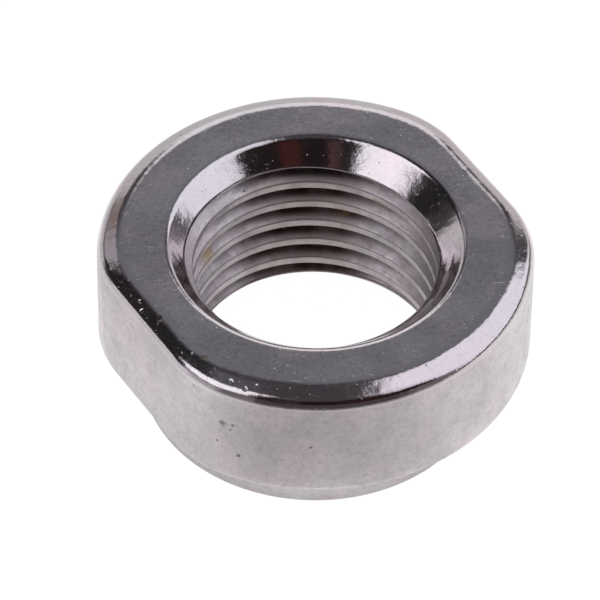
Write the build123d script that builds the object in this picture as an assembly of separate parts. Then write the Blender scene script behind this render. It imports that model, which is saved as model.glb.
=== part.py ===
"""Lock nut: one turned and plated steel piece with an M10 x 1 bore and two wrench flats.

Frame: millimetres, +Z up, origin at the centre of the spigot face that the nut stands on.
The bore axis is Z and the two wrench flats face +X and -X.
From the bottom up: a round spigot, then the wider body, which ends in the flat locating face.
"""
from build123d import *
from math import radians, tan
import os

# ---- Body -------------------------------------------------------------------------------
ACROSS_FLATS = 14.8           # for a 15 mm spanner
FLAT_DEPTH = 0.6              # how far each flat is cut into the round
FLAT_BLEND_RADIUS = 4.5       # each flat runs out into the round through this radius
BODY_HEIGHT = 4.8
SIDE_EDGE_RADIUS = 0.28       # between the side and the chamfer
SHOULDER_EDGE_RADIUS = 0.18   # between the side and the shoulder above the spigot

# ---- Chamfer round the locating face ----------------------------------------------------
CHAMFER_DEPTH = 0.35          # down the side
ROUND_CHAMFER_WIDTH = 0.82    # across the face on the round parts
FLAT_CHAMFER_WIDTH = 0.6      # across the face on the flats
FACE_BLEND_RADIUS = 4.4       # of the face's own corners
FACE_EDGE_RADIUS = 0.4        # between the chamfer and the face

# ---- Spigot -----------------------------------------------------------------------------
SPIGOT_DIAMETER = 12.8
SPIGOT_HEIGHT = 2.4
SPIGOT_EDGE_RADIUS = 0.2

# ---- Bore -------------------------------------------------------------------------------
TAPPING_DIAMETER = 9.0        # drilled for an M10 x 1 thread
COUNTERSINK_ANGLE = 90.0      # included, at both ends
TOP_MOUTH_DIAMETER = 10.9     # sharp corner, before its lip is rounded
BOTTOM_MOUTH_DIAMETER = 10.8
TOP_LIP_RADIUS = 0.4
BOTTOM_LIP_RADIUS = 0.15

# ---- Worked out from the values above ---------------------------------------------------
BODY_DIAMETER = ACROSS_FLATS + 2 * FLAT_DEPTH
TOTAL_HEIGHT = SPIGOT_HEIGHT + BODY_HEIGHT
SIDE_TOP = TOTAL_HEIGHT - CHAMFER_DEPTH
FACE_DIAMETER = BODY_DIAMETER - 2 * ROUND_CHAMFER_WIDTH
FACE_ACROSS_FLATS = ACROSS_FLATS - 2 * FLAT_CHAMFER_WIDTH
CONE_SLOPE = tan(radians(COUNTERSINK_ANGLE / 2))
LEVEL_TOLERANCE = 1e-4        # within which an edge counts as lying at a height


def cone_depth(mouth_diameter):
    """Depth at which a countersink of this mouth meets the drilled bore."""
    return (mouth_diameter - TAPPING_DIAMETER) / 2 / CONE_SLOPE


def flatted_outline(diameter, across_flats, blend_radius):
    """A circle with two opposite flats, its four corners blended."""
    outline = Circle(diameter / 2) & Rectangle(across_flats, diameter)
    return fillet(outline.vertices(), blend_radius)


def edges_at(solid, height):
    """The edges that lie level at this height."""
    low, high = height - LEVEL_TOLERANCE, height + LEVEL_TOLERANCE
    return solid.edges().filter_by_position(Axis.Z, low, high)


def body():
    """The wide part: extruded side, chamfer up to the smaller face, and its rounded edges."""
    side = flatted_outline(BODY_DIAMETER, ACROSS_FLATS, FLAT_BLEND_RADIUS)
    face = flatted_outline(FACE_DIAMETER, FACE_ACROSS_FLATS, FACE_BLEND_RADIUS)
    wall = Pos(0, 0, SPIGOT_HEIGHT) * extrude(side, BODY_HEIGHT - CHAMFER_DEPTH)
    crown = loft([Pos(0, 0, SIDE_TOP) * side, Pos(0, 0, TOTAL_HEIGHT) * face], ruled=True)
    solid = fillet(edges_at(wall + crown, SIDE_TOP), SIDE_EDGE_RADIUS)
    solid = fillet(edges_at(solid, TOTAL_HEIGHT), FACE_EDGE_RADIUS)
    return fillet(edges_at(solid, SPIGOT_HEIGHT), SHOULDER_EDGE_RADIUS)


def spigot():
    """The round seat below the body, on which the nut stands."""
    solid = extrude(Circle(SPIGOT_DIAMETER / 2), SPIGOT_HEIGHT)
    return fillet(edges_at(solid, 0), SPIGOT_EDGE_RADIUS)


def bore():
    """What the drill and the two countersinks take away, at the tapping diameter."""
    section = Polyline(
        (0, 0),
        (BOTTOM_MOUTH_DIAMETER / 2, 0),
        (TAPPING_DIAMETER / 2, cone_depth(BOTTOM_MOUTH_DIAMETER)),
        (TAPPING_DIAMETER / 2, TOTAL_HEIGHT - cone_depth(TOP_MOUTH_DIAMETER)),
        (TOP_MOUTH_DIAMETER / 2, TOTAL_HEIGHT),
        (0, TOTAL_HEIGHT),
        close=True,
    )
    return revolve(Plane.XZ * make_face(section), Axis.Z)


def mouth_edge(solid, height):
    """The rim of the countersink at this height: the innermost level edge there."""
    return edges_at(solid, height).sort_by_distance((0, 0, height))[0]


def lock_nut():
    """The whole nut, with the lips of both countersinks rounded."""
    solid = body() + spigot() - bore()
    solid = fillet(mouth_edge(solid, TOTAL_HEIGHT), TOP_LIP_RADIUS)
    return fillet(mouth_edge(solid, 0), BOTTOM_LIP_RADIUS)


os.makedirs("parts", exist_ok=True)
nut = lock_nut()
nut.label = "lock_nut"
export_step(nut, "parts/lock_nut.step")
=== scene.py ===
"""Lock nut: the plated nut with its real thread, on a pale floor under soft studio light."""
from math import acos, cos, floor, pi, radians, sin, sqrt, tan

import bmesh
import bpy
from mathutils import Matrix, Vector


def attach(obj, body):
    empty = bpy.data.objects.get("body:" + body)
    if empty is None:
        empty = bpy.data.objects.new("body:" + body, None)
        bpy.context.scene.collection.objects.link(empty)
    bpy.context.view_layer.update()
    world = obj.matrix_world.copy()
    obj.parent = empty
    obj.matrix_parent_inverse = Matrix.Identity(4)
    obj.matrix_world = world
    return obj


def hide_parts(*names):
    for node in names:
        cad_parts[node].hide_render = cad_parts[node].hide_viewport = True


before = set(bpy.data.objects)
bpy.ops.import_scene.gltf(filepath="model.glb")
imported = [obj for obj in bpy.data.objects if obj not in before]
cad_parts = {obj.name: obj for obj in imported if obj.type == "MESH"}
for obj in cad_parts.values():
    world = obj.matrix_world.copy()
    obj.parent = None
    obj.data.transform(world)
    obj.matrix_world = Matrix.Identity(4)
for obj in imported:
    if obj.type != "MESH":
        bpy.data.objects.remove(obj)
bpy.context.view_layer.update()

MM = 0.001
TURN = 2 * pi

# ---- Sizes of the nut, millimetres, as in its CAD model but for the edges that say so --------
HALF_FLATS = 7.4
BODY_RADIUS = 8.0
FLAT_BLEND_RADIUS = 4.5
SIDE_EDGE_RADIUS = 0.5            # worn rounder than the CAD model's 0.28
SHOULDER_EDGE_RADIUS = 0.18
SHOULDER_CORNER_RADIUS = 0.04     # of the inside corner, sharp in the CAD model
CHAMFER_DEPTH = 0.35
ROUND_CHAMFER_WIDTH = 0.82
FLAT_CHAMFER_WIDTH = 0.6
FACE_BLEND_RADIUS = 4.4
FACE_EDGE_RADIUS = 1.0            # worn rounder than the CAD model's 0.4
SPIGOT_RADIUS = 6.4
SPIGOT_HEIGHT = 2.4
SPIGOT_EDGE_RADIUS = 0.2
TOTAL_HEIGHT = 7.2
TOP_MOUTH_RADIUS = 5.45
BOTTOM_MOUTH_RADIUS = 5.4
CONE_SLOPE = tan(radians(45))     # of both countersinks, radius per height
TOP_LIP_RADIUS = 0.4
BOTTOM_LIP_RADIUS = 0.15

# ---- The thread: M10 x 1, right hand ----------------------------------------------------------
PITCH = 1.0
MINOR_RADIUS = 4.5
MAJOR_RADIUS = 5.05               # with the roots' rounding
CREST_BELOW = (0.12, 0.09)        # the crest's flat below its middle, then the radius to the flank
CREST_ABOVE = (0.10, 0.08)        # and the same above it
FLANK_TILT = radians(60)          # of each flank from the axis
FLANK_SLOPE = tan(FLANK_TILT)     # radius per height
CREST_HEIGHT = 0.39               # of a crest's middle above the floor at +X, less whole pitches
ROOT_SOFTNESS = 0.16              # of the change from flank to root
MOUTH_SOFTNESS = 0.03             # and from thread to countersink

# ---- Fineness of the mesh ---------------------------------------------------------------------
COLUMNS = 480
SUPPORT = 0.03                    # flat strip beside each rounded edge, so that flats shade flat
THREAD_ROWS = (0, 0.1, 0.12, 0.135, 0.15, 0.17, 0.2, 0.27, 0.36, 0.44)   # crest to root, pitches
SPARE_TURNS = 2                   # of rows past the bore's ends, because the helix climbs
NUDGE = 1e-6                      # pitches, so that both sides of the seam find the same crest
RUN_OUT = 0.03                    # height past which the countersinks clear the thread's roots
# The heights between which the mesh follows the thread: past them the countersinks are plain.
THREAD_BOTTOM = (BOTTOM_MOUTH_RADIUS - MAJOR_RADIUS) / CONE_SLOPE - RUN_OUT
THREAD_TOP = TOTAL_HEIGHT - (TOP_MOUTH_RADIUS - MAJOR_RADIUS) / CONE_SLOPE + RUN_OUT
MERGE_DISTANCE = 1e-7             # metres, for points that fall together
SHORTEST_EDGE = 1e-8              # metres

# ---- Finishes, in the order of the nut's materials, and where each one ends -------------------
FACE, BEVEL, SIDE, THREAD = range(4)
BORE_BOTTOM = 0.5                 # height below which the bottom countersink is like the side
LIP_REACH = 0.3                   # of the bore's finishes outside the top mouth
LIP_DROP = 0.02                   # of the top lip's end below the face
ON_CONE = 0.02                    # how near to a countersink counts as on it
ON_FACE = 0.001                   # and to the face
BEVEL_REACH = 0.25                # of the bevel's finish below the chamfer


# ---- Shape ------------------------------------------------------------------------------------
def flatted_radius(angle, radius, half_flats, blend):
    """Distance from the axis to a circle with flats facing +X and -X and blended corners."""
    across, along = abs(cos(angle)), abs(sin(angle))
    centre_x = half_flats - blend
    centre_y = sqrt((radius - blend) ** 2 - centre_x ** 2)
    if along * half_flats < centre_y * across:
        return half_flats / across
    if along * centre_x > centre_y * across:
        return radius
    middle = centre_x * across + centre_y * along
    return middle + sqrt(middle ** 2 - centre_x ** 2 - centre_y ** 2 + blend ** 2)


def rounded_path(corners):
    """Points along a path of (point, radius, steps) corners, all rounded but the two ends."""
    points = [Vector(corners[0][0])]
    for before, (corner, radius, steps), after in zip(corners, corners[1:], corners[2:]):
        corner = Vector(corner)
        back = (Vector(before[0]) - corner).normalized()
        ahead = (Vector(after[0]) - corner).normalized()
        half = acos(max(-1, min(1, back.dot(ahead)))) / 2
        reach = radius / tan(half)
        centre = corner + (back + ahead).normalized() * (radius / sin(half))
        start, end = corner + back * reach - centre, corner + ahead * reach - centre
        sweep = pi - 2 * half
        points.append(corner + back * (reach + SUPPORT))
        for step in range(steps + 1):
            share = step / steps
            weights = sin(sweep * (1 - share)) / sin(sweep), sin(sweep * share) / sin(sweep)
            points.append(centre + start * weights[0] + end * weights[1])
        points.append(corner + ahead * (reach + SUPPORT))
    points.append(Vector(corners[-1][0]))
    return points


def cone_radius(height):
    """Radius of whichever countersink is wider at this height."""
    top = TOP_MOUTH_RADIUS - CONE_SLOPE * (TOTAL_HEIGHT - height)
    bottom = BOTTOM_MOUTH_RADIUS - CONE_SLOPE * height
    return max(top, bottom)


def outer_section(angle):
    """The section's outside, from the top countersink round to the bottom one.

    Each corner is (point, radius of its rounding, steps along the rounding).
    """
    face = flatted_radius(angle, BODY_RADIUS - ROUND_CHAMFER_WIDTH,
                          HALF_FLATS - FLAT_CHAMFER_WIDTH, FACE_BLEND_RADIUS)
    side = flatted_radius(angle, BODY_RADIUS, HALF_FLATS, FLAT_BLEND_RADIUS)
    corners = (
        ((cone_radius(THREAD_TOP), THREAD_TOP), 0, 0),
        ((TOP_MOUTH_RADIUS, TOTAL_HEIGHT), TOP_LIP_RADIUS, 10),
        ((face, TOTAL_HEIGHT), FACE_EDGE_RADIUS, 5),
        ((side, TOTAL_HEIGHT - CHAMFER_DEPTH), SIDE_EDGE_RADIUS, 9),
        ((side, SPIGOT_HEIGHT), SHOULDER_EDGE_RADIUS, 7),
        ((SPIGOT_RADIUS, SPIGOT_HEIGHT), SHOULDER_CORNER_RADIUS, 2),
        ((SPIGOT_RADIUS, 0), SPIGOT_EDGE_RADIUS, 6),
        ((BOTTOM_MOUTH_RADIUS, 0), BOTTOM_LIP_RADIUS, 5),
        ((cone_radius(THREAD_BOTTOM), THREAD_BOTTOM), 0, 0),
    )
    return rounded_path(corners)


def soft_max(a, b, softness):
    """The larger of two values, with a round transition between them."""
    near = max(softness - abs(a - b), 0) / softness
    return max(a, b) + near ** 2 * softness / 4


def wall_radius(phase, height):
    """Radius of the threaded wall: phase is the distance from the crest's middle, in pitches."""
    from_middle = (phase - floor(phase + 0.5 + NUDGE)) * PITCH
    flat, rounding = CREST_ABOVE if from_middle > 0 else CREST_BELOW
    past_flat = max(abs(from_middle) - flat, 0)
    tangent = rounding * sin(FLANK_TILT)
    if past_flat < tangent:
        depth = rounding - sqrt(rounding ** 2 - past_flat ** 2)
    else:
        depth = rounding * (1 - cos(FLANK_TILT)) + (past_flat - tangent) * FLANK_SLOPE
    depth = -soft_max(-depth, MINOR_RADIUS - MAJOR_RADIUS, ROOT_SOFTNESS)
    return soft_max(MINOR_RADIUS + depth, cone_radius(height), MOUTH_SOFTNESS)


def thread_phases():
    """The rows' places on the helix, in pitches, enough to cover the bore at every angle."""
    one_pitch = list(THREAD_ROWS) + [0.5] + [1 - place for place in reversed(THREAD_ROWS[1:])]
    turns = range(int(THREAD_BOTTOM / PITCH) - SPARE_TURNS, int(THREAD_TOP / PITCH) + SPARE_TURNS)
    return [turn + place for turn in turns for place in one_pitch]


def inner_section(angle, phases):
    """The section's threaded wall, from the bottom countersink up to the top one."""
    points = []
    for phase in phases:
        height = CREST_HEIGHT + PITCH * (phase + angle / TURN)
        height = max(THREAD_BOTTOM, min(THREAD_TOP, height))
        radius = wall_radius((height - CREST_HEIGHT) / PITCH - angle / TURN, height)
        if height in (THREAD_BOTTOM, THREAD_TOP):
            radius = cone_radius(height)
        points.append(Vector((radius, height)))
    return points


def region(radius, height):
    """Which finish a patch has, by its distance from the axis and its height."""
    on_cone = abs(radius - cone_radius(height)) < ON_CONE
    if radius < TOP_MOUTH_RADIUS + LIP_REACH and BORE_BOTTOM < height < TOTAL_HEIGHT - LIP_DROP:
        return BEVEL if on_cone or height > THREAD_TOP else THREAD
    if height > TOTAL_HEIGHT - ON_FACE:
        return FACE
    if height > TOTAL_HEIGHT - CHAMFER_DEPTH - BEVEL_REACH:
        return BEVEL
    return SIDE


def nut_mesh():
    """The whole nut as one closed mesh: columns of section points, joined all round."""
    phases = thread_phases()
    columns = []
    for number in range(COLUMNS + 1):
        angle = TURN * number / COLUMNS
        section = outer_section(angle) + inner_section(angle, phases)
        turn = cos(angle), sin(angle)
        columns.append([Vector((turn[0] * r, turn[1] * r, z)) * MM for r, z in section])
    mesh = bmesh.new()
    grid = [[mesh.verts.new(point) for point in column] for column in columns]
    rows = len(grid[0])
    for here, there in zip(grid, grid[1:]):
        for row in range(rows):
            other = (row + 1) % rows
            mesh.faces.new((here[row], here[other], there[other], there[row]))
    bmesh.ops.remove_doubles(mesh, verts=mesh.verts, dist=MERGE_DISTANCE)
    bmesh.ops.dissolve_degenerate(mesh, edges=mesh.edges, dist=SHORTEST_EDGE)
    bmesh.ops.recalc_face_normals(mesh, faces=mesh.faces)
    for face in mesh.faces:
        centre = face.calc_center_median() / MM
        face.material_index = region(centre.xy.length, centre.z)
        face.smooth = True
    return mesh


def build_nut():
    """The nut's mesh as an object of the scene, still without its materials."""
    mesh = nut_mesh()
    data = bpy.data.meshes.new("threaded_nut")
    mesh.to_mesh(data)
    mesh.free()
    nut = bpy.data.objects.new("threaded_nut", data)
    bpy.context.scene.collection.objects.link(nut)
    return nut


# ---- Materials: places and depths in millimetres, scales per millimetre -----------------------
WARM_STEEL = (0.75, 0.67, 0.70)
COOL_STEEL = (0.705, 0.668, 0.690)
DARK_STEEL = (0.36, 0.345, 0.355)
# a pale colour for painted glints on raised specks and on nicks
GLINT_PALE_STEEL = (0.95, 0.95, 0.97)
# painted shade for the thread: a warm oily darkening, then a dark brown for its roots
FILM_AND_SHADE = (0.60, 0.50, 0.49)
ROOT_SHADE = (0.07, 0.045, 0.04)
RUST = (0.46, 0.34, 0.17)
GRIME = (0.12, 0.10, 0.10)

# Cloudy layers: (offset, scale, detail, roughness, value where it starts, value where it's full)
TINT = ((0, 0, 0), 0.5, 3, 0.5, 0.38, 0.62)
SMEARS = ((4, 7, 2), 0.45, 3, 0.5, 0.4, 0.6)
CLOUD = ((2, 5, 4), 1.3, 5, 0.6, 0.35, 0.7)
FLECKS = ((0, 0, 0), 5.0, 4, 0.65, 0.45, 0.68)
DUST = ((0, 0, 0), 14.0, 2, 0.5, 0.42, 0.75)
GLINT_SPECKLED = ((9, 2, 6), 0.9, 2, 0.5, 0.42, 0.62)
OILED_SHADED = ((3, 6, 1), 0.8, 3, 0.5, 0.35, 0.6)

# Strewn dots: (offset, how many to a millimetre, widest radius)
PITS = ((0, 0, 0), 0.9, 0.10)
PINHOLES = ((5, 1, 8), 3.0, 0.05)
GLINT_SPECKS = ((7, 3, 9), 5.0, 0.045)
SMALLNESS = 2.0                   # the higher it is, the fewer dots come near the widest radius
DOT_CORE = 0.4                    # share of a dot's radius inside which it is full
LEAST_RADIUS = 1e-4               # keeps a dot of no size from dividing by nothing

# Strewn scratches: (turn, length, width, chance that a place has none)
LEVEL_SCRATCHES = ((0, 0.25, 0.7), 0.9, 0.035, 0.985)
STEEP_SCRATCHES = ((0.5, 1.3, 0.2), 0.6, 0.03, 0.988)
SCRATCH_EDGE, SCRATCH_CORE = 0.45, 0.15    # where a scratch starts across its width, and is full
BEND = 0.5                        # how far a scratch's line wanders
BEND_SCALE = 0.9

# How much each thing darkens the plate, roughens it and stands out of it
SMEAR_SHADE, CLOUD_SHADE, FLECK_SHADE, DUST_SHADE = 0.55, 0.4, 0.8, 0.5
PIT_SHADE, PINHOLE_SHADE, MARK_SHADE = 0.75, 0.4, 0.75
SMOOTHEST, CLOUD_ROUGHENS, FLECKS_ROUGHEN, PITS_ROUGHEN = 0.85, 0.3, 0.15, 0.2
SWELL, PEEL, GRIT = (0.9, 2), (4.5, 2), (12.0, 3)    # scale and detail of the relief's noises
PEEL_TO_GRAIN = 1.5               # how much deeper the peel is than the grit
SPECK_HEIGHT = 0.012
PIT_DEPTH, PINHOLE_DEPTH, MARK_DEPTH = 0.02, 0.006, 0.008
LEVEL_SCRATCH_DEPTH, STEEP_SCRATCH_DEPTH = 0.003, 0.002

# Painted shade in the thread with a warm oil tint, most of it on one side of the bore, the far side
# that faces the camera, and darkest in the roots
OILY_SHADED_SIDE = 62                    # degrees from +X towards +Y
OILY_SHADED_EDGES = (0.82, 0.98)         # cosines of the angle from that side: least oil, most oil
OIL_SHADE_LEAST, OIL_SHADE_MOST = 0.15, 0.9
OIL_SHADE_PATCH_LEAST = 0.65
# millimetres from the axis where the painted shade in the roots starts and where it is full
ROOT_SHADE_STARTS, ROOT_SHADE_FULL = 4.52, 4.85

# Marks, listed one by one: (angle, distance from the axis, height, size), degrees from +X towards +Y
MARK_EDGE = (3.0, 4)              # scale and detail of their ragged edges
MARK_RAGGEDNESS = 2.5
MARK_CORE = 0.3                   # share of a mark's size inside which it is full
THREAD_STAINS = (
    (26, 4.7, 5.1, 0.45),
    (5, 4.7, 4.05, 0.4),
    (45, 4.8, 4.0, 0.35),
    (118, 4.7, 4.05, 0.5),
    (134, 4.7, 4.4, 0.3),
)
SIDE_PITS = (
    (213.0, 8.0, 5.20, 0.19),
    (216.1, 8.0, 5.25, 0.08),
    (215.4, 8.0, 5.02, 0.06),
    (217.6, 8.0, 3.75, 0.10),
    (211.6, 8.0, 4.20, 0.07),
    (236.6, 8.0, 4.75, 0.08),
    (204.1, 7.91, 6.45, 0.06),
    (158.1, 7.86, 4.80, 0.07),
)
# nicks, dented into the bevel and painted pale as painted glints
GLINTING_BEVEL_NICKS = (
    (173.5, 7.05, 7.08, 0.10),
    (176.5, 7.15, 7.02, 0.09),
    (190.5, 7.45, 6.98, 0.08),
    (214.0, 7.6, 7.02, 0.10),
    (218.5, 7.7, 6.98, 0.12),
    (221.0, 7.5, 7.05, 0.08),
)
BEVEL_STAINS = (
    (183, 6.9, 7.13, 0.12),
    (203, 7.1, 7.1, 0.2),
)


class Tree:
    """Adds and links the nodes of one shader."""

    def __init__(self, owner):
        owner.use_nodes = True
        self.nodes = owner.node_tree.nodes
        self.links = owner.node_tree.links

    def set(self, socket, value):
        """Links another node's output to a socket, or sets its plain value."""
        if isinstance(value, bpy.types.NodeSocket):
            self.links.new(value, socket)
        else:
            socket.default_value = value

    def add(self, kind, inputs=(), **settings):
        """A new node with its inputs and settings."""
        node = self.nodes.new("ShaderNode" + kind)
        for name, value in settings.items():
            setattr(node, name, value)
        for name, value in dict(inputs).items():
            self.set(node.inputs[name], value)
        return node

    def math(self, operation, *values):
        """One operation on numbers, plain or from other nodes."""
        node = self.add("Math", operation=operation)
        for socket, value in zip(node.inputs, values):
            self.set(socket, value)
        return node.outputs[0]

    def ramp(self, value, start, end, low=0.0, high=1.0):
        """A smooth step from low at start to high at end."""
        node = self.add("MapRange", {"Value": value, "From Min": start, "From Max": end,
                                     "To Min": low, "To Max": high},
                        interpolation_type="SMOOTHSTEP")
        return node.outputs["Result"]

    def mix(self, share, a, b):
        """The colour a, and b over it by a share."""
        node = self.add("Mix", data_type="RGBA")
        for name, value in (("Factor_Float", share), ("A_Color", a), ("B_Color", b)):
            if not isinstance(value, (float, int, bpy.types.NodeSocket)):
                value = (*value, 1)
            socket = next(s for s in node.inputs if s.identifier == name)
            self.set(socket, value)
        return next(s for s in node.outputs if s.identifier == "Result_Color")

    def noise(self, place, scale, detail, roughness=0.5):
        """Smooth random values, mostly near 0.5."""
        return self.add("TexNoise", {"Vector": place, "Scale": scale, "Detail": detail,
                                     "Roughness": roughness}).outputs["Fac"]

    def cloudy(self, place, offset, scale, detail, roughness, start, full, low=0.0, high=1.0):
        """Noise as a smooth step between two of its values."""
        noise = self.noise(self.moved(place, offset), scale, detail, roughness)
        return self.ramp(noise, start, full, low, high)

    def voronoi(self, place, scale):
        """Distance to the nearest of many strewn points, and a random number of that point's."""
        node = self.add("TexVoronoi", {"Vector": place, "Scale": scale})
        chance = self.add("SeparateColor", {"Color": node.outputs["Color"]}).outputs["Red"]
        return node.outputs["Distance"], chance

    def moved(self, place, offset, stretch=(1, 1, 1)):
        """A place stretched and then moved, to read a texture elsewhere."""
        node = self.add("Mapping", {"Vector": place, "Location": offset, "Scale": stretch})
        return node.outputs["Vector"]

    def total(self, terms):
        """The weighted sum of (value, weight) pairs."""
        value = 0.0
        for term, weight in terms:
            value = self.math("MULTIPLY_ADD", term, weight, value)
        return value

    def dots(self, place, offset, density, widest):
        """Dots of all sizes up to the widest radius, strewn at random: 1 in the middle of each."""
        distance, chance = self.voronoi(self.moved(place, offset), density)
        radius = self.math("MULTIPLY", self.math("POWER", chance, SMALLNESS), widest * density)
        share = self.math("DIVIDE", distance, self.math("MAXIMUM", radius, LEAST_RADIUS))
        return self.ramp(share, 1.0, DOT_CORE)

    def scratches(self, place, turn, length, width, rarity):
        """Short, slightly bent scratches along one direction, strewn at random."""
        bend = self.add("TexNoise", {"Vector": place, "Scale": BEND_SCALE,
                                     "Detail": 1}).outputs["Color"]
        bent = self.add("VectorMath", {0: bend, 1: (BEND,) * 3, 2: place},
                        operation="MULTIPLY_ADD").outputs[0]
        turned = self.add("VectorRotate", {"Vector": bent, "Rotation": turn},
                          rotation_type="EULER_XYZ").outputs["Vector"]
        distance, chance = self.voronoi(
            self.moved(turned, (0, 0, 0), (1 / length, 1 / width, 1 / width)), 1.0)
        line = self.ramp(distance, SCRATCH_EDGE, SCRATCH_CORE)
        return self.math("MULTIPLY", line, self.math("GREATER_THAN", chance, rarity))

    def spots(self, place, centres):
        """Ragged round marks at (angle, distance from the axis, height, size)."""
        ragged = self.math("SUBTRACT", self.noise(place, *MARK_EDGE), 0.5)
        cover = 0.0
        for angle, distance, height, size in centres:
            centre = (distance * cos(radians(angle)), distance * sin(radians(angle)), height)
            away = self.add("VectorMath", {0: place, 1: centre}, operation="DISTANCE")
            edge = self.math("MULTIPLY_ADD", ragged, -MARK_RAGGEDNESS * size, away.outputs["Value"])
            cover = self.math("MAXIMUM", cover, self.ramp(edge, size, size * MARK_CORE))
        return cover

    def bearing(self, place):
        """A place's azimuth in degrees, clockwise from behind the nut, and its height."""
        turned = self.add("VectorRotate", {"Vector": place, "Angle": -VIEW_AZIMUTH},
                          rotation_type="Z_AXIS").outputs["Vector"]
        x, y, z = self.add("SeparateXYZ", {"Vector": turned}).outputs
        return self.math("DEGREES", self.math("ARCTAN2", x, y)), z

    def aside(self, azimuth, middle):
        """How far an azimuth is to either side of another one, in degrees."""
        turned = self.math("WRAP", self.math("SUBTRACT", azimuth, middle), 180.0, -180.0)
        return self.math("ABSOLUTE", turned)


def soiled_and_shaded(tree, place, colour):
    """A warm oil tint and painted shade over a colour, mostly on one side of the bore, darkest in the
    thread's roots.
    """
    flat = tree.add("VectorMath", {0: place, 1: (1, 1, 0)}, operation="MULTIPLY").outputs[0]
    radius = tree.add("VectorMath", {0: flat}, operation="LENGTH").outputs["Value"]
    side = (cos(radians(OILY_SHADED_SIDE)), sin(radians(OILY_SHADED_SIDE)), 0)
    facing = tree.add("VectorMath", {0: flat, 1: side}, operation="DOT_PRODUCT").outputs["Value"]
    oily_shaded = tree.ramp(tree.math("DIVIDE", facing, radius), *OILY_SHADED_EDGES, OIL_SHADE_LEAST, OIL_SHADE_MOST)
    oil_and_shade = tree.math("MULTIPLY", oily_shaded, tree.cloudy(place, *OILED_SHADED, OIL_SHADE_PATCH_LEAST, 1.0))
    colour = tree.mix(oil_and_shade, colour, FILM_AND_SHADE)
    root_shade = tree.math("MULTIPLY", tree.ramp(radius, ROOT_SHADE_STARTS, ROOT_SHADE_FULL), oil_and_shade)
    return tree.mix(root_shade, colour, ROOT_SHADE)


def plated_steel(name, roughness, mottling, speckle_and_glint, grain, waves, marks=(), dirty_and_shaded=False):
    """Nickel-chrome plate: uneven tint, mottled grain, pits, raised specks with painted glints, and
    scratches.

    marks is a list of (places of the marks, their colour).
    """
    material = bpy.data.materials.new(name)
    tree = Tree(material)
    seen = tree.add("TexCoord").outputs["Object"]
    place = tree.add("VectorMath", {"Vector": seen, "Scale": 1 / MM}, operation="SCALE").outputs[0]

    pits = tree.dots(place, *PITS)
    pinholes = tree.dots(place, *PINHOLES)
    specks_and_glints = tree.math("MULTIPLY", tree.dots(place, *GLINT_SPECKS), tree.cloudy(place, *GLINT_SPECKLED))
    cloud = tree.cloudy(place, *CLOUD)
    flecks = tree.cloudy(place, *FLECKS)

    colour = tree.mix(tree.cloudy(place, *TINT), COOL_STEEL, WARM_STEEL)
    shade = tree.total((
        (tree.cloudy(place, *SMEARS), SMEAR_SHADE * mottling),
        (cloud, CLOUD_SHADE * mottling),
        (flecks, FLECK_SHADE * mottling),
        (tree.cloudy(place, *DUST), DUST_SHADE * mottling),
        (pits, PIT_SHADE),
        (pinholes, PINHOLE_SHADE),
    ))
    colour = tree.mix(shade, colour, DARK_STEEL)
    # on the thread: a warm oil tint, and painted shade on the bore's far side and in its roots
    if dirty_and_shaded:
        colour = soiled_and_shaded(tree, place, colour)
    marked = 0.0
    for centres, paint in marks:
        cover = tree.spots(place, centres)
        colour = tree.mix(tree.math("MULTIPLY", cover, MARK_SHADE), colour, paint)
        marked = tree.math("MAXIMUM", marked, cover)
    # painted glints: the raised specks are painted pale, like glints on them
    colour = tree.mix(tree.math("MULTIPLY", specks_and_glints, speckle_and_glint), colour, GLINT_PALE_STEEL)

    relief = tree.total((
        (tree.noise(place, *SWELL), waves),
        (tree.noise(place, *PEEL), grain * PEEL_TO_GRAIN),
        (tree.noise(place, *GRIT), grain),
        (pits, -PIT_DEPTH),
        (pinholes, -PINHOLE_DEPTH),
        (specks_and_glints, SPECK_HEIGHT * speckle_and_glint),
        (tree.scratches(place, *LEVEL_SCRATCHES), -LEVEL_SCRATCH_DEPTH),
        (tree.scratches(place, *STEEP_SCRATCHES), -STEEP_SCRATCH_DEPTH),
        (marked, -MARK_DEPTH),
    ))
    bump = tree.add("Bump", {"Height": relief, "Distance": MM, "Strength": 1.0})
    rough = tree.total((
        (cloud, CLOUD_ROUGHENS * roughness),
        (flecks, FLECKS_ROUGHEN * roughness),
        (pits, PITS_ROUGHEN),
    ))

    shader = tree.nodes["Principled BSDF"]
    shader.inputs["Metallic"].default_value = 1
    tree.set(shader.inputs["Base Color"], colour)
    tree.set(shader.inputs["Roughness"], tree.math("ADD", rough, roughness * SMOOTHEST))
    tree.set(shader.inputs["Normal"], bump.outputs["Normal"])
    return material


nut = build_nut()
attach(nut, "root")
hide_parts("lock_nut")
finishes = {
    FACE: plated_steel("satin face", roughness=0.23, mottling=0.52, speckle_and_glint=0.9,
                       grain=0.0018, waves=0.012),
    BEVEL: plated_steel("polished bevels", roughness=0.11, mottling=0.12, speckle_and_glint=0.7,
                        grain=0.0026, waves=0.020,
                        marks=((BEVEL_STAINS, RUST), (GLINTING_BEVEL_NICKS, GLINT_PALE_STEEL))),
    SIDE: plated_steel("satin side", roughness=0.28, mottling=0.28, speckle_and_glint=0.3,
                       grain=0.0018, waves=0.007, marks=((SIDE_PITS, GRIME),)),
    # the thread gets painted shade: darker on the bore's far side, darkest in its roots
    THREAD: plated_steel("thread", roughness=0.46, mottling=0.25, speckle_and_glint=0.6,
                         grain=0.0040, waves=0.01, marks=((THREAD_STAINS, RUST),), dirty_and_shaded=True),
}
for finish in sorted(finishes):
    nut.data.materials.append(finishes[finish])

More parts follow.
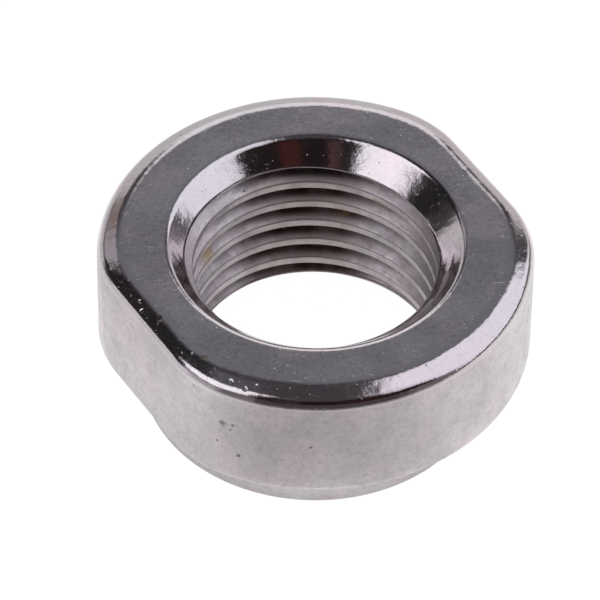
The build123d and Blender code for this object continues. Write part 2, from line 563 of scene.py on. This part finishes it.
# ---- Camera: a long lens that looks at a point near the middle of the nut's face --------------
VIEW_AZIMUTH = radians(-32.9)     # of the camera's right, from +X
VIEW_ELEVATION = radians(46.1)
VIEW_ROLL = 0.0143                # radians
VIEW_DISTANCE = 197.5             # millimetres, like the two lengths below
AIM_RIGHT = -0.545                # of the point looked at, from the face's middle
AIM_UP = -2.2
LENS = 325.1                      # millimetres of focal length
NEAR, FAR = 0.01, 5               # metres, what the camera can see

right = Vector((cos(VIEW_AZIMUTH), sin(VIEW_AZIMUTH), 0))
ahead = Vector((-sin(VIEW_AZIMUTH), cos(VIEW_AZIMUTH), 0))
back = Vector((0, 0, sin(VIEW_ELEVATION))) - ahead * cos(VIEW_ELEVATION)
up = back.cross(right)
place = Vector((0, 0, TOTAL_HEIGHT)) + back * VIEW_DISTANCE + right * AIM_RIGHT + up * AIM_UP
lens = bpy.data.cameras.new("camera")
lens.lens = LENS
lens.clip_start, lens.clip_end = NEAR, FAR
camera = bpy.data.objects.new("camera", lens)
bpy.context.scene.collection.objects.link(camera)
axes = Matrix((right, up, back)).transposed().to_4x4()
camera.matrix_world = Matrix.Translation(place * MM) @ axes @ Matrix.Rotation(VIEW_ROLL, 4, "Z")
bpy.context.scene.camera = camera

# ---- Studio -----------------------------------------------------------------------------------
# Only metal sees the studio's cards: (azimuth, elevation, half width, half height, softness,
# colour), degrees, azimuths clockwise from behind the nut; later cards cover earlier ones.
OVERHEAD = (0.062, 0.057, 0.061)  # where there is no card
ALL_ROUND = 200                   # half width of a card with no sides, past 180 and its softness
CARDS = (
    (0, -42, ALL_ROUND, 45, 2, (0.97, 0.98, 0.97)),
    (0, 52, 40, 16, 8, (0.184, 0.194, 0.212)),
    (-7, 2, 54, 17, 3, (0.62, 0.61, 0.62)),
    (0, 24, 15, 13, 3, (0.97, 0.97, 0.98)),
    (-42, 32, 9, 7, 1.5, (0.42, 0.40, 0.42)),
    (-32.5, 23, 3.5, 3, 2, (0.26, 0.20, 0.18)),
    (31, 24, 3, 4, 1.5, (0.30, 0.29, 0.28)),
    (79, 44.5, 36.5, 31.5, 1.5, (1.0, 1.0, 1.08)),
    (51.5, 2, 9.5, 7, 2, (0.20, 0.19, 0.20)),
    (175, 15, 50, 17, 4, (0.075, 0.06, 0.065)),
    (122, 14, 14, 17, 5, (0.17, 0.15, 0.155)),
    (165, 46, 46, 15, 3, (0.016, 0.012, 0.013)),
    (118, 62, 14, 9, 4, (0.8, 0.8, 0.85)),
    (-125, 11, 26, 15, 4, (0.46, 0.44, 0.46)),
    (-125, 30, 24, 5, 2, (0.19, 0.17, 0.18)),
    (-118.5, 52, 26, 21, 3.5, (1.28, 1.26, 1.32)),
    (-92, 48, 9, 8, 3, (1.28, 1.26, 1.32)),
    (-92, 71.5, 20, 7.5, 3, (0.11, 0.11, 0.125)),
    (-142, 18, 10, 19, 4, (0.19, 0.16, 0.165)),
    (-92, 3, 16, 10, 4, (0.80, 0.79, 0.82)),
    (-67.5, 42, 15.5, 24, 3, (0.02, 0.019, 0.021)),
    (-88, 26, 9, 10, 3, (0.02, 0.019, 0.021)),
    (157, 44, 9, 4, 3, (0.06, 0.02, 0.016)),
    (-165, 45, 4, 5, 3, (0.09, 0.05, 0.05)),
)

# How the floor darkens where metal sees it: (azimuth, half width outside, inside, distance from
# the axis where it starts and where it's full, depth), degrees and millimetres.
FLOOR_SHADE = (
    (180, 60, 12, 9.0, 12.0, 0.42),
    (180, 85, 40, 20.0, 60.0, 0.45),
    (-90, 45, 10, 9.0, 12.0, 0.22),
    (-140, 50, 25, 14.0, 10.0, 0.13),
    (150, 25, 10, 13.0, 10.0, 0.07),
    (125, 35, 10, 9.0, 12.0, 0.12),
    (0, 110, 70, 30.0, 110.0, 0.38),
)
OVERHANG_SHADE = 0.3              # under the nut
DARKEST = 0.05                    # the floor that metal ever sees
FLOOR_SIZE = 4                    # metres
FLOOR_PAINT = (0.9, 0.9, 0.9, 1)
WHITE_GLOW = 1.08                 # of the floor, for the camera
GLOW_SHARE = 0.9                  # of that glow in what the camera sees: the rest takes shadows


def studio_world():
    """Even white light on everything, and the cards where metal sees them."""
    world = bpy.data.worlds.new("studio")
    tree = Tree(world)
    azimuth, height = tree.bearing(tree.add("TexCoord").outputs["Generated"])
    elevation = tree.math("DEGREES", tree.math("ARCSINE", height))
    colour = OVERHEAD
    for across, above, half_width, half_height, softness, paint in CARDS:
        aside = tree.aside(azimuth, across)
        high = tree.math("ABSOLUTE", tree.math("SUBTRACT", elevation, above))
        inside = tree.math("MULTIPLY", tree.ramp(aside, half_width + softness, half_width - softness),
                           tree.ramp(high, half_height + softness, half_height - softness))
        colour = tree.mix(inside, colour, paint)
    glossy = tree.add("LightPath").outputs["Is Glossy Ray"]
    light = tree.nodes["Background"]
    tree.set(light.inputs["Color"], tree.mix(glossy, (1, 1, 1), colour))
    light.inputs["Strength"].default_value = 1.0
    world.cycles.sampling_method = "NONE"
    bpy.context.scene.world = world


def floor_brightness(tree):
    """How bright metal sees each place of the floor."""
    place = tree.add("TexCoord").outputs["Object"]
    azimuth, _ = tree.bearing(place)
    away = tree.add("VectorMath", {0: place}, operation="LENGTH").outputs["Value"]
    shade = 0.0
    for across, outer, inner, start, full, depth in FLOOR_SHADE:
        sector = tree.ramp(tree.aside(azimuth, across), outer, inner)
        beyond = tree.ramp(away, start * MM, full * MM, 0.0, depth)
        shade = tree.math("MULTIPLY_ADD", sector, beyond, shade)
    overhang = tree.ramp(away, BODY_RADIUS * MM, SPIGOT_RADIUS * MM, 0.0, OVERHANG_SHADE)
    shade = tree.math("MAXIMUM", shade, overhang)
    return tree.math("MAXIMUM", tree.math("SUBTRACT", 1.0, shade), DARKEST)


def studio_floor():
    """Pale floor: white to the camera but for the nut's shadow, and shaded where metal sees it."""
    bpy.ops.mesh.primitive_plane_add(size=FLOOR_SIZE)
    ground = bpy.context.object
    ground.name = "floor"
    material = bpy.data.materials.new("pale floor")
    tree = Tree(material)
    tree.nodes.remove(tree.nodes["Principled BSDF"])
    ray = tree.add("LightPath").outputs
    strength = tree.mix(ray["Is Glossy Ray"], (WHITE_GLOW,) * 3, floor_brightness(tree))
    paint = tree.add("BsdfDiffuse", {"Color": FLOOR_PAINT})
    glow = tree.add("Emission", {"Color": strength, "Strength": 1.0})
    share = tree.math("MULTIPLY_ADD", ray["Is Camera Ray"], GLOW_SHARE, ray["Is Glossy Ray"])
    mixed = tree.add("MixShader", {"Fac": share})
    tree.links.new(paint.outputs[0], mixed.inputs[1])
    tree.links.new(glow.outputs[0], mixed.inputs[2])
    tree.links.new(mixed.outputs[0], tree.nodes["Material Output"].inputs["Surface"])
    ground.data.materials.append(material)


studio_world()
studio_floor()
bpy.context.scene.view_settings.view_transform = "Standard"
